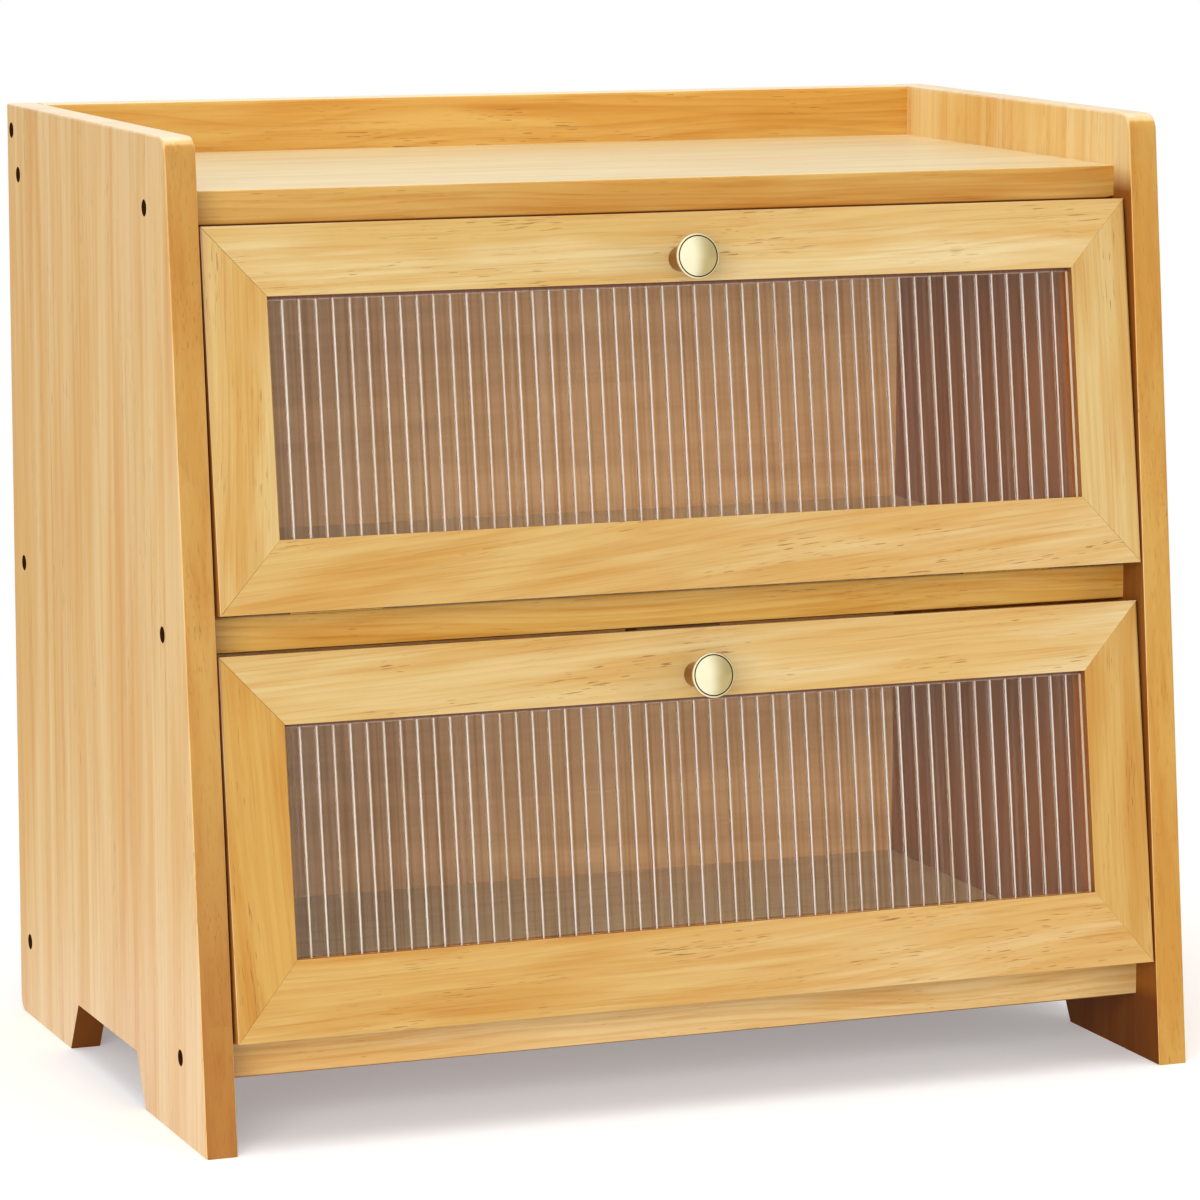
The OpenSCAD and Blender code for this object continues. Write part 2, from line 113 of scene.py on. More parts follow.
class BreadBoxJoinery(bpy.types.PropertyGroup):
    """How the boards and door frames are eased and joined"""

    side_ease: length_setting("Side Ease", "Radius on the long edges of the two sides", 2.4 * MM)
    rear_ease: length_setting("Rear Ease", "Radius on the rear edges of the two sides", 1.2 * MM)
    shelf_ease: length_setting("Shelf Ease", "Radius on the front edges of the shelves", 0.8 * MM)
    under_ease: length_setting("Under Ease", "Radius under the top shelf's front", 1.8 * MM)
    rail_ease: length_setting("Rail Ease", "Radius on the long edges of the back rail", 1.5 * MM)
    door_ease: length_setting("Door Ease", "Radius on the outer edges of a door frame", 1.0 * MM)
    window_ease: length_setting("Window Ease", "Radius on a door frame's edges round its window", 0.6 * MM)
    mitre_ease: length_setting("Mitre Ease", "Half the width of a line between two frame members", 0.15 * MM)
    hole_ease: length_setting("Hole Ease", "Chamfer round the counterbored screw holes", 0.3 * MM)
    bore_depth: length_setting("Bore Depth", "Just over the depth of the screw holes' wide part", 5 * MM)
    foot_ease: length_setting("Foot Ease", "Radius under the feet and round their cut-out", 0.9 * MM)
    arch_height: length_setting("Arch Height", "Just over the height of a side's cut-out", 20.5 * MM)
    arch_reach: length_setting("Arch Reach", "Just over half the length of that cut-out", 70 * MM)
    door_lean: angle_setting("Door Lean", "How far a closed door leans back", math.radians(8.2))


class BreadBoxPine(bpy.types.PropertyGroup):
    """Colours and grain of the lacquered pine"""

    side_colour: colour_setting("Side Pine", "Outer faces of the two sides", "F9D89C")
    edge_colour: colour_setting("Side Edge Pine", "Front edge of the left side", "CBA052")
    pale_edge_colour: colour_setting("Pale Side Edge Pine", "Front edge of the right side", "D1A350")
    shelf_colour: colour_setting("Shelf Pine", "Top shelf", "DEB664")
    rail_colour: colour_setting("Rail Pine", "Back rail", "E2B662")
    # Lifted as painted light against the shade of the upper door over the middle shelf
    mid_shelf_lifted_colour: colour_setting("Mid Shelf Pine", "Middle shelf", "FCD070")
    bottom_shelf_colour: colour_setting("Bottom Shelf Pine", "Bottom shelf", "F0D496")
    inner_colour: colour_setting("Inner Pine", "Inner faces of the two sides", "F9E0A2")
    door_colour: colour_setting("Pale Door Pine", "Palest boards of the door frames", "E0C890")
    warm_colour: colour_setting("Warm Door Pine", "Most orange boards of the door frames", "CFA352")
    shaded_colour: colour_setting("Shaded Pine", "Inner faces of the sides below the top shelf", "A0662C")
    seam_colour: colour_setting("Seam Pine", "Outer faces of the door stiles", "E8A850")
    # Painted highlight on the rounded edges of the door frames
    edge_highlight_colour: colour_setting("Edge Highlight Pine", "Door frames' edges, where the lacquer is thin", "FBEAD2")
    # Painted highlight on the upper edges of the sides and the back rail
    top_highlight_colour: colour_setting("Top Pine", "Upper edges of the sides and the back rail", "FBEAC6")
    # Painted sheen on the upper faces of the shelves
    shelf_top_sheen_colour: colour_setting("Shelf Top Pine", "Upper faces of the shelves", "EFE1B6")
    foot_colour: colour_setting("Foot Pine", "Foot of the left side's front edge", "AE7428")
    # Painted light: the door rails' fronts turn paler toward their right-hand ends
    far_end_light_colour: colour_setting("Far End Pine", "Pale right-hand ends of the door rails", "F0DCB0")
    fleck_colour: colour_setting("Fleck", "Short resin flecks", "8A5A20")
    # Painted shade in the screw holes
    bore_shade_colour: colour_setting("Screw Hole Shade", "Walls of the screw holes", "3A200A")
    # Painted shade: inner faces below the bottom shelf, shelf fronts' lower edges, and the cut-outs' end
    # grain
    sawn_and_shade_colour: colour_setting("Sawn End Grain", "Cut-outs and inner faces below the bottom shelf", "7C4618")
    ring: length_setting("Growth Ring", "Width of one year's growth", 3.2 * MM)
    strip: length_setting("Strip", "Mean width of the strips that a board is glued up from", 46 * MM)
    fibre: length_setting("Fibre", "Width of a visible bundle of fibres", 0.5 * MM)
    fleck: length_setting("Fleck Length", "Length of a resin fleck", 8 * MM)


class BreadBoxHardware(bpy.types.PropertyGroup):
    """Knobs, windows, hinges and catches"""

    brass_colour: colour_setting("Knob Brass", "Satin pale brass of the knobs", "F6EEC8")
    # Painted shade and painted reflection of the door's wood on the knobs' stems
    stem_shade_colour: colour_setting("Stem Brass", "Unpolished stems of the knobs", "986410")
    # Painted shade in the groove round a knob's face
    painted_groove_shade_colour: colour_setting("Knob Groove Shade", "Dark groove round a knob's face", "120E08")
    acrylic_colour: colour_setting("Acrylic", "Clear sheet of the windows", "FFF8EE")
    streak_colour: colour_setting("Acrylic Streaks", "Faint bands that ribs draw in the windows", "E6D0B2")
    hinge_colour: colour_setting("Hinge Plating", "Brass plating on the hinges", "C9A560")
    zinc_colour: colour_setting("Zinc", "Zinc plating on screws and strike plates", "B4B6B8")
    catch_colour: colour_setting("Catch Plastic", "Moulded bodies of the catches", "6E5038")
    ferrite_colour: colour_setting("Ferrite", "Magnets", "34343A")
    plywood_colour: colour_setting("Plywood", "Back panel", "FCD49C")
    # Painted shade: a dark line in each window just below the top rail, and its height
    shadow_line_colour: colour_setting("Shadow Line", "Dark line in a window below the top rail", "7A3808")
    shadow_line_height: length_setting("Shadow Line Width", "Height of that dark line", 1.2 * MM)
    rib_pitch: length_setting("Rib Pitch", "Spacing of the ribs on a window", 6.5 * MM)
    rib_crest: length_setting("Rib Crest", "Width of the whitish crest of a rib", 0.55 * MM)
    hinge_ease: length_setting("Hinge Ease", "Radius on the edges of a hinge leaf", 0.15 * MM)
    catch_ease: length_setting("Catch Ease", "Radius on the edges of a catch body", 0.6 * MM)
    knob_rim: length_setting("Knob Rim", "Thickness of the rim round a knob's face", 1.2 * MM)
    knob_lip: length_setting("Knob Lip", "Width of the bright lip outside the groove", 0.65 * MM)
    knob_groove: length_setting("Knob Groove", "Width and depth of the groove inside that lip", 0.45 * MM)
    knob_dome: length_setting("Knob Dome", "Rise of a knob's face above its rim", 2.4 * MM)
    knob_stem: length_setting("Knob Stem", "Diameter of a knob's stem", 9.6 * MM)


class BreadBoxStage(bpy.types.PropertyGroup):
    """Camera, floor and lamps"""

    camera_place: place_setting("Camera Place", "Where the camera stands", (-0.73753, -1.87177, 0.49326))
    camera_target: place_setting("Camera Target", "Middle of the view", (-0.0074, -0.0270, 0.1802))
    camera_roll: angle_setting("Camera Roll", "Turn of the view about its middle", 0.0016)
    camera_lens: number_setting("Camera Lens", "Focal length in millimetres", 155.0, 20.0, 400.0)
    floor_colour: colour_setting("Floor", "Pale floor", "EFEFEF")
    floor_reach: length_setting("Floor Reach", "How far out the floor takes shadows", 0.9, high=10.0)
    world_level: number_setting("World Level", "Strength of the light from all round", 0.55, high=2.0)
    key_power: number_setting("Key Power", "Watts of the large lamp at the front left", 40.0)
    top_power: number_setting("Top Power", "Watts of the large lamp overhead", 28.0)
    fill_power: number_setting("Fill Power", "Watts of the lamp at the front right", 15.0)


def settings():
    """The scene's settings of the bread box."""
    return bpy.context.scene.bread_box


class BreadBoxSettings(bpy.types.PropertyGroup):
    """All settings of the bread box"""

    joinery: bpy.props.PointerProperty(type=BreadBoxJoinery, name="Joinery", description="Eased edges")
    pine: bpy.props.PointerProperty(type=BreadBoxPine, name="Pine", description="Colours and grain")
    hardware: bpy.props.PointerProperty(type=BreadBoxHardware, name="Hardware", description="Fittings")
    stage: bpy.props.PointerProperty(type=BreadBoxStage, name="Stage", description="Camera and lamps")


# ---- shared tools ----


def select_only(piece):
    """Deselects everything and makes piece the one selected, active object."""
    bpy.ops.object.select_all(action="DESELECT")
    piece.select_set(True)
    bpy.context.view_layer.objects.active = piece


def apply_modifier(piece, kind, **values):
    """Adds a modifier with its settings and applies it."""
    select_only(piece)
    made = piece.modifiers.new(kind.title(), kind)
    for name, value in values.items():
        setattr(made, name, value)
    bpy.ops.object.modifier_apply(modifier=made.name)


def merged_copy(node, name):
    """A new piece with a CAD node's shape: loose triangles merged, and those in one plane made one face."""
    mesh = frame["nodes"][node].data.copy()
    mesh.materials.clear()
    piece = bpy.data.objects.new(name, mesh)
    bpy.context.scene.collection.objects.link(piece)
    select_only(piece)
    bpy.ops.mesh.customdata_custom_splitnormals_clear()
    bpy.ops.object.mode_set(mode="EDIT")
    bpy.ops.mesh.select_all(action="SELECT")
    bpy.ops.mesh.remove_doubles(threshold=0.001 * MM)
    bpy.ops.mesh.dissolve_limited(angle_limit=math.radians(0.5))
    bpy.ops.mesh.select_all(action="DESELECT")
    bpy.ops.object.mode_set(mode="OBJECT")
    return piece


def ease_edges(piece, width_of, segments=3):
    """Rounds each edge of a piece to the width that width_of gives for it, in one pass."""
    shape = bmesh.new()
    shape.from_mesh(piece.data)
    weight = shape.edges.layers.float.new("bevel_weight_edge")
    widths = [width_of(edge) for edge in shape.edges]
    widest = max(widths)
    for edge, width in zip(shape.edges, widths):
        edge[weight] = width / widest
    shape.to_mesh(piece.data)
    shape.free()
    apply_modifier(
        piece, "BEVEL", limit_method="WEIGHT", width=widest, segments=segments, loop_slide=False,
        use_clamp_overlap=True,
    )
    select_only(piece)
    bpy.ops.object.shade_smooth_by_angle(angle=math.radians(40))
    apply_modifier(piece, "WEIGHTED_NORMAL", keep_sharp=True, weight=100)


def dress(piece, body, slot, material, *nodes):
    """Gives a finished piece its material and its body, and hides the CAD nodes that it stands for."""
    piece.data.materials.append(material)
    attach(piece, body)
    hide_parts(*nodes)


def paint(node, material):
    """Gives a CAD node that stays a better material."""
    for slot in frame["nodes"][node].material_slots:
        slot.material = material


def hinge_point(tier):
    """Where a tier's hinge axis crosses the middle of the box."""
    joint = next(j for j in frame["joints"] if j["name"] == f"{tier}_door_hinge")
    return Vector(joint["pos_m"])


def upright(tier):
    """Turns the row frame into a door's own: about its hinge axis, with the closed door stood upright."""
    lean = settings().joinery.door_lean
    return Matrix.Rotation(lean, 4, "X") @ Matrix.Translation(-hinge_point(tier))


def upright_box(tier, node):
    """Lowest and highest corner of a CAD node in its door's own frame."""
    turn = upright(tier)
    points = [turn @ v.co for v in frame["nodes"][node].data.vertices]
    return [Vector(pick(p[i] for p in points) for i in range(3)) for pick in (min, max)]


# ---- materials ----


def add_node(tree, kind, inputs=None, **setup):
    """Adds a shader node of a kind, named without ShaderNode, with its settings. An input, by name or number,
    takes a value, a socket, or a node for that node's first output."""
    made = tree.nodes.new(f"ShaderNode{kind}")
    for name, value in setup.items():
        setattr(made, name, value)
    for key, value in (inputs or {}).items():
        socket = next(s for i, s in enumerate(made.inputs) if s.enabled and key in (i, s.name))
        if isinstance(value, bpy.types.Node):
            value = next(s for s in value.outputs if s.enabled)
        if isinstance(value, bpy.types.NodeSocket):
            tree.links.new(value, socket)
        else:
            socket.default_value = value
    return made


def maths(tree, operation, *values):
    """A Math node over its values, in their order."""
    return add_node(tree, "Math", dict(enumerate(values)), operation=operation)


def vectors(tree, operation, *values):
    """A Vector Math node over its values, in their order."""
    return add_node(tree, "VectorMath", dict(enumerate(values)), operation=operation)


def along_axis(tree, point, axis):
    """How far a point or a direction reaches along an axis."""
    return vectors(tree, "DOT_PRODUCT", point, axis).outputs["Value"]


def noise(tree, point, scale=1.0, **inputs):
    """A cloudy pattern over points."""
    return add_node(tree, "TexNoise", {"Vector": point, "Scale": scale, **inputs})


def graded(tree, value, start, stop, first, last, smooth=False):
    """Turns a value between start and stop into one between first and last."""
    inputs = {"Value": value, 1: start, 2: stop, 3: first, 4: last}
    return add_node(tree, "MapRange", inputs, interpolation_type="SMOOTHSTEP" if smooth else "LINEAR")


def ramped(tree, value, *stops):
    """Turns a value into a grey level by its stops, each a value and the level there."""
    made = add_node(tree, "ValToRGB", {0: value})
    elements = made.color_ramp.elements
    elements[1].position = stops[-1][0]
    elements[0].position = stops[0][0]
    for place, _level in stops[1:-1]:
        elements.new(place)
    for element, (_place, level) in zip(elements, stops):
        element.color = (level, level, level, 1)
    return made


def mixed(tree, factor, under, over, how="MIX"):
    """Mixes one colour over another."""
    inputs = {"Factor": factor, "A": under, "B": over}
    return add_node(tree, "Mix", inputs, data_type="RGBA", blend_type=how)


def bumped(tree, height, strength, depth):
    """The surface's direction where a pattern raises it by a depth in metres."""
    return add_node(tree, "Bump", {"Height": height, "Strength": strength, "Distance": depth})


def principled(tree, **inputs):
    """The shader of a solid surface, its inputs named with lower-case letters and underscores."""
    named = {name.replace("_", " ").title().replace("Ior", "IOR"): value for name, value in inputs.items()}
    return add_node(tree, "BsdfPrincipled", named)


def darker(colour, share):
    """A colour with that share of its light."""
    return tuple(part * share for part in colour[:3]) + (1,)


def new_material(name):
    """A material with an empty tree, and the node that gives places on the object."""
    material = bpy.data.materials.new(name)
    material.use_nodes = True
    material.node_tree.nodes.clear()
    return material, material.node_tree, add_node(material.node_tree, "TexCoord")


def show(tree, surface, kind="OutputMaterial"):
    """Makes a shader the surface that its tree gives."""
    add_node(tree, kind, {"Surface": surface})


def facing(tree, place, direction, low=0.72, high=0.88):
    """1 on faces that look along a direction, 0 on those turned well away from it. low and high are the
    cosines between which it rises."""
    turn = along_axis(tree, place.outputs["Normal"], direction)
    return graded(tree, turn, low, high, 0.0, 1.0, smooth=True)


def board_points(tree, place, middle, grain, seed, strips):
    """Points in mm from a board's middle with its length along X, the same points slid to a stretch of log of
    the board's own, and the tone of each strip if it is glued up from strips."""
    from_middle = vectors(tree, "SUBTRACT", place.outputs["Object"], middle)
    turn = {"Vector": from_middle, "Rotation": grain, "Scale": (1 / MM,) * 3}
    board = add_node(tree, "Mapping", turn)
    tones = []
    if strips:
        across = along_axis(tree, board, (0, 1, 0))
        in_strips = maths(tree, "MULTIPLY_ADD", across, MM / settings().pine.strip, seed * 7.3)
        inputs = {"W": in_strips, "Scale": 1.0, "Randomness": 0.55}
        strip = add_node(tree, "TexVoronoi", inputs, voronoi_dimensions="1D")
        tone = add_node(tree, "SeparateColor", {0: strip.outputs["Color"]})
        tones.append(tone.outputs["Red"])
        board = vectors(tree, "MULTIPLY_ADD", strip.outputs["Color"], (900, 70, 40), board)
    slid = vectors(tree, "ADD", board, (seed * 1370.0, seed * 91.0, 0))
    return board, slid, tones


def late_wood(tree, board, wander, pith):
    """The dark part of each growth ring round the log's pith, in rings of uneven width that wander."""
    bent = vectors(tree, "MULTIPLY_ADD", wander, (0, 26, 26), board)
    in_section = vectors(tree, "MULTIPLY_ADD", bent, (0, 1, 1), (0, -pith[0], -pith[1]))
    radius = vectors(tree, "LENGTH", in_section).outputs["Value"]
    years = maths(tree, "MULTIPLY", radius, MM / settings().pine.ring)
    slow = add_node(tree, "TexNoise", {"W": years, "Scale": 0.31, "Detail": 1.0}, noise_dimensions="1D")
    season = maths(tree, "FRACT", maths(tree, "MULTIPLY_ADD", slow, 3.0, years))
    return ramped(tree, season, (0.0, 0.0), (0.3, 0.12), (0.7, 0.6), (0.9, 1.0), (1.0, 0.0))


# Heights, behind the ends of the top and the bottom shelf, between which a side's inner face turns to painted
# shade
UNDER_TOP_SHELF = (347 * MM, 338 * MM)
UNDER_BOTTOM_SHELF = (30 * MM, 24 * MM)


def lacquered_pine(
    name, colour, grain, middle, seed, pith, run=0.45, faces=(), fade=None, rim=None, inner=None,
    strips=False, rings=0.6, streaks=0.5, flecks=1.0,
):
    """Lacquered pine: sawn from a log whose pith lies off the board, planed, and sprayed with clear satin
    lacquer, so growth rings, fibres and flecks show under a soft shine.
    grain turns the board's length to X. pith is the log's middle, in mm across and through the board. run is
    the length of the figure, as a share of that in a board sawn along the tree's outside. faces lists
    directions, each with the colour of the faces that look that way and how far it hides their figure. fade
    gives the direction of the faces that turn to another colour, the axis and the mm along it between which
    they do, that colour, and how far they turn to it. rim gives the direction of a frame member's outer
    edge, whose rounded corner gets a painted highlight, and the colour of its flat part; the faces that look
    toward the window get painted shade. inner is the direction along X, 1 or -1, of a side's inner face,
    which gets painted shade below the top shelf and below the bottom shelf. strips glues the board up from
    strips. rings, streaks and flecks say how strong each of them is."""
    pine = settings().pine
    material, tree, place = new_material(name)
    board, slid, tones = board_points(tree, place, middle, grain, seed, strips)

    def pattern(along, across, detail=2.0, roughness=0.5, source=None):
        """Noise whose blobs are about that many mm long and wide."""
        scaled = vectors(tree, "MULTIPLY", source or waved, (1 / along, 1 / across, 1 / across))
        return noise(tree, scaled, Detail=detail, Roughness=roughness)

    def blend(amount, share, under, over, how="MIX"):
        """Mixes one colour over another by a share of a pattern."""
        return mixed(tree, maths(tree, "MULTIPLY", amount, share), under, over, how)

    def tinted(direction, share, under, over, *cosines):
        """Mixes one colour over another on the faces that look along a direction."""
        return blend(facing(tree, place, direction, *cosines), share, under, over)

    # All figure wanders along the tree: the growth rings, and less so the rest
    wander = pattern(420 * run, 45, 1.0, source=slid).outputs["Color"]
    waved = vectors(tree, "MULTIPLY_ADD", wander, (0, 10 * (1 - run), 10 * (1 - run)), slid)
    late = late_wood(tree, board, wander, pith)

    # Broad tone, heartwood streaks, fine lines, fibres and flecks
    wide = 0.6 + run
    broad = ramped(tree, pattern(230 * run, 13 * wide), (0.42, 0.0), (0.60, 1.0))
    heart = ramped(tree, pattern(240 * run, 5.5 * wide, 4.0, 0.55), (0.52, 0.0), (0.64, 1.0))
    streak = ramped(tree, pattern(210 * run, 2.4 * wide, 3.0, 0.6), (0.5, 0.0), (0.7, 1.0))
    line = ramped(tree, pattern(110 * run, 0.8, 1.0), (0.6, 0.0), (0.74, 1.0))
    mottle = pattern(3.0, 1.2, 2.0, 0.6)
    fibre = pattern(22, pine.fibre / MM, 2.0, 0.6)
    fleck_dots = ramped(tree, pattern(pine.fleck / MM, 0.42, 0.0), (0.71, 0.0), (0.77, 1.0))
    fleck_patch = ramped(tree, pattern(60, 12, 1.0), (0.49, 0.0), (0.62, 1.0))
    fleck = maths(tree, "MULTIPLY", fleck_dots, fleck_patch)

    # Colour of each kind of face, with painted highlights, sheen and shade from faces, rim and inner
    shade = colour
    for direction, tint, _calm in faces:
        shade = tinted(direction, 1.0, shade, tint)
    if fade is not None:
        direction, axis, start, stop, tint, share = fade
        reach = along_axis(tree, place.outputs["Object"], axis)
        near_end = graded(tree, reach, start * MM, stop * MM, 0.0, 1.0, smooth=True)
        shade = blend(maths(tree, "MULTIPLY", facing(tree, place, direction), near_end), share, shade, tint)
    # Painted highlight on the rim's rounded corner, and painted shade on the faces toward the window
    if rim is not None:
        outward, flat_colour = rim
        shade = tinted(outward, 1.0, shade, pine.edge_highlight_colour, 0.55, 0.72)
        shade = tinted(outward, 1.0, shade, flat_colour, 0.94, 0.98)
        shade = tinted([-part for part in outward], 1.0, shade, pine.shaded_colour, 0.8, 0.9)
    matt = 0.0
    # Painted shade on a side's inner face: the shaded colour below the top shelf, the sawn colour lower down
    if inner is not None:
        within = facing(tree, place, (inner, 0, 0))
        height = along_axis(tree, place.outputs["Object"], UP)
        under_top = graded(tree, height, *UNDER_TOP_SHELF, 0.0, 1.0)
        under_shelves = graded(tree, height, *UNDER_BOTTOM_SHELF, 0.0, 1.0)
        inside = blend(under_top, 1.0, pine.inner_colour, pine.shaded_colour)
        inside = blend(under_shelves, 1.0, inside, pine.sawn_and_shade_colour)
        shade = blend(within, 1.0, shade, inside)
        matt = maths(tree, "MULTIPLY", within, under_top)

    # Each layer of figure, how strong it is, and the share of red, green and blue that it leaves
    figure = [
        (broad, 0.9, (0.91, 0.76, 0.50, 1)),
        (heart, streaks, (0.90, 0.72, 0.44, 1)),
        (late, rings, (0.88, 0.74, 0.52, 1)),
        (streak, 0.8 * streaks, (0.86, 0.70, 0.46, 1)),
        (line, 0.35, (0.74, 0.54, 0.32, 1)),
        *((tone, 0.8, (0.94, 0.85, 0.80, 1)) for tone in tones),
        (mottle, 0.25, (0.86, 0.82, 0.74, 1)),
        (fibre, 0.4, (0.82, 0.76, 0.66, 1)),
    ]
    for layer, share, left in figure:
        shade = blend(layer, share, shade, left, "MULTIPLY")
    shade = blend(fleck, 0.75 * flecks, shade, pine.fleck_colour)
    for direction, tint, calm in faces:
        shade = tinted(direction, calm, shade, tint)

    relief = maths(tree, "MULTIPLY_ADD", late, -0.3, fibre)
    surface = principled(
        tree, base_color=shade, roughness=graded(tree, fibre, 0.3, 0.7, 0.36, 0.46),
        normal=bumped(tree, relief, 0.35, 0.05 * MM),
        specular_ior_level=graded(tree, matt, 0.0, 1.0, 0.35, 0.05),
        coat_weight=graded(tree, matt, 0.0, 1.0, 0.3, 0.0), coat_roughness=0.25,
    )
    show(tree, surface)
    return material


def thin_plywood(name):
    """Thin plywood: rotary-cut veneer, so its grain is wide and wandering, with a thin coat of lacquer."""
    hardware = settings().hardware
    material, tree, place = new_material(name)
    sheet = vectors(tree, "MULTIPLY", place.outputs["Object"], (1 / MM,) * 3)
    grain = noise(
        tree, vectors(tree, "MULTIPLY", sheet, (1 / 240, 1 / 20, 1 / 22)), Detail=6.0, Distortion=0.8
    )
    fibre = noise(tree, vectors(tree, "MULTIPLY", sheet, (1 / 40, 1 / 0.7, 1 / 0.7)), Detail=2.0)
    dark = tuple(c * f for c, f in zip(hardware.plywood_colour, (0.80, 0.72, 0.62, 1)))
    bands = ramped(tree, grain, (0.35, 0.0), (0.65, 1.0))
    tint = mixed(tree, bands, hardware.plywood_colour, dark)
    tint = mixed(tree, fibre, tint, (0.84, 0.80, 0.76, 1), "MULTIPLY")
    show(tree, principled(tree, base_color=tint, roughness=0.55, normal=bumped(tree, fibre, 0.3, 0.05 * MM)))
    return material


def ribbed_acrylic(name, up, groove_height):
    """Clear acrylic: extruded with fine ribs on its front. The sheet is glossy and clear, the ribs' crests
    are rougher and painted whitish as a painted highlight, light from lamps passes, and a dark line painted
    just below the top rail is painted shade. groove_height is that rail's lower edge along the direction up."""
    hardware = settings().hardware
    material, tree, place = new_material(name)
    point = place.outputs["Object"]

    def drawn(scale, shift):
        """Points squeezed so that noise over them runs in upright bands."""
        return add_node(tree, "Mapping", {"Vector": point, "Scale": scale, "Location": shift})

    off_rib = maths(tree, "PINGPONG", along_axis(tree, point, RIGHT), hardware.rib_pitch / 2)
    crest = hardware.rib_crest
    # Painted highlight: the ribs' crests turn whitish and less clear, as well as rougher
    on_rib = graded(tree, off_rib, 0.6 * crest, 0.3 * crest, 0.0, 0.75, smooth=True)
    in_front = maths(tree, "GREATER_THAN", along_axis(tree, place.outputs["Normal"], FORWARD), 0.4)
    rough_highlit_crest = maths(tree, "MULTIPLY", on_rib, in_front)
    haze = graded(tree, noise(tree, drawn((1100, 6, 6), (0, 0, 0)), Detail=2.0), 0.56, 0.78, 0.0, 0.045)
    white = maths(tree, "MAXIMUM", rough_highlit_crest, maths(tree, "MULTIPLY", haze, in_front))
    # Painted shade: a dark line in the sheet just below the top rail
    groove = graded(
        tree, along_axis(tree, point, up), groove_height - 1.3 * hardware.shadow_line_height,
        groove_height - 0.7 * hardware.shadow_line_height, 0.0, 0.9, smooth=True,
    )
    band = graded(tree, noise(tree, drawn((900, 3, 3), (7, 0, 0)), Detail=1.0), 0.48, 0.72, 0.0, 0.8)
    tint = mixed(tree, band, hardware.acrylic_colour, hardware.streak_colour)
    tint = mixed(tree, groove, tint, hardware.shadow_line_colour)
    solid = maths(tree, "MAXIMUM", white, groove)
    clear = principled(
        tree, base_color=tint, roughness=graded(tree, rough_highlit_crest, 0.0, 1.0, 0.02, 0.35), ior=1.49,
        specular_ior_level=0.1, transmission_weight=graded(tree, solid, 0.0, 1.0, 1.0, 0.1),
    )
    passed = add_node(tree, "BsdfTransparent", {"Color": (0.94, 0.91, 0.86, 1)})
    shadow = add_node(tree, "LightPath").outputs["Is Shadow Ray"]
    show(tree, add_node(tree, "MixShader", {0: shadow, 1: clear, 2: passed}))
    return material


def satin_brass(name, colour):
    """Pale brass: turned, then brushed and lacquered, so it mirrors softly and a little unevenly."""
    material, tree, place = new_material(name)
    fine = noise(tree, place.outputs["Object"], 900.0, Detail=3.0)
    surface = principled(
        tree, base_color=colour, metallic=1.0, roughness=graded(tree, fine, 0.3, 0.7, 0.19, 0.27),
        coat_weight=0.3, coat_roughness=0.1,
    )
    show(tree, surface)
    return material


def plated_steel(name, colour, grit, roughness):
    """Plated steel: stamped or headed, then tumbled and plated, so its shine is uneven at the size of the
    grit, in mm."""
    material, tree, place = new_material(name)
    spots = noise(tree, place.outputs["Object"], 1 / (grit * MM), Detail=3.0)
    shine = graded(tree, spots, 0.3, 0.7, roughness - 0.06, roughness + 0.08)
    tint = mixed(tree, spots, colour, darker(colour, 0.8))
    show(tree, principled(tree, base_color=tint, metallic=1.0, roughness=shine))
    return material


def dull_solid(name, colour, grit, roughness, depth, level=0.5):
    """Moulded plastic, pressed ferrite, and the dull dark surfaces that hold painted shade in a knob's
    groove, in the screw holes and on the sawn end grain of the cut-outs: no metal, with an even grain. grit
    is the grain's size and depth its height, in mm, and level is the strength of its mirror light."""
    material, tree, place = new_material(name)
    grain = noise(tree, place.outputs["Object"], 1 / (grit * MM), Detail=2.0)
    surface = principled(
        tree, base_color=mixed(tree, grain, colour, darker(colour, 0.85)), roughness=roughness,
        specular_ior_level=level, normal=bumped(tree, grain, 0.5, depth * MM),
    )
    show(tree, surface)
    return material


# ---- boards ----

# Turns from the row frame that lay a board's grain along X
ALONG_X = (0, 0, 0)
ALONG_Z = (0, math.radians(90), 0)


def middle_of(node):
    """The middle of a CAD node's box."""
    low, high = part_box(node)
    return (low + high) / 2


def side_widths(node):
    """Gives the ease on each edge of a side: along its outline, and round the rims of its screw holes."""
    joinery = settings().joinery
    low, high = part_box(node)
    outer_x = max(-low.x, high.x)

    def width_of(edge):
        walls = [face for face in edge.link_faces if abs(face.normal.x) < 0.5]
        if len(walls) != 1:
            return 0
        reach = [v.co.x for v in walls[0].verts]
        point = (edge.verts[0].co + edge.verts[1].co) / 2
        if max(reach) - min(reach) < 0.9 * (high.x - low.x):
            return joinery.hole_ease if abs(point.x) > outer_x - TOUCH else 0
        if walls[0].normal.y > 0.9:
            return joinery.rear_ease
        return joinery.foot_ease if point.z < joinery.arch_height else joinery.side_ease

    return width_of


def shelf_widths(node):
    """Gives the ease on the two long front edges of a shelf."""
    joinery = settings().joinery
    low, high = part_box(node)

    def width_of(edge):
        at_front = all(v.co.y < low.y + TOUCH for v in edge.verts)
        level = abs(edge.verts[0].co.z - edge.verts[1].co.z) < TOUCH
        if not (at_front and level):
            return 0
        is_under = edge.verts[0].co.z < (low.z + high.z) / 2
        return joinery.under_ease if is_under and node == "top_shelf" else joinery.shelf_ease

    return width_of


def rail_widths(node):
    """Gives the ease on the two long top edges of the back rail."""
    _low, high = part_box(node)

    def width_of(edge):
        at_top = all(v.co.z > high.z - TOUCH for v in edge.verts)
        level = abs(edge.verts[0].co.y - edge.verts[1].co.y) < TOUCH
        return settings().joinery.rail_ease if at_top and level else 0

    return width_of


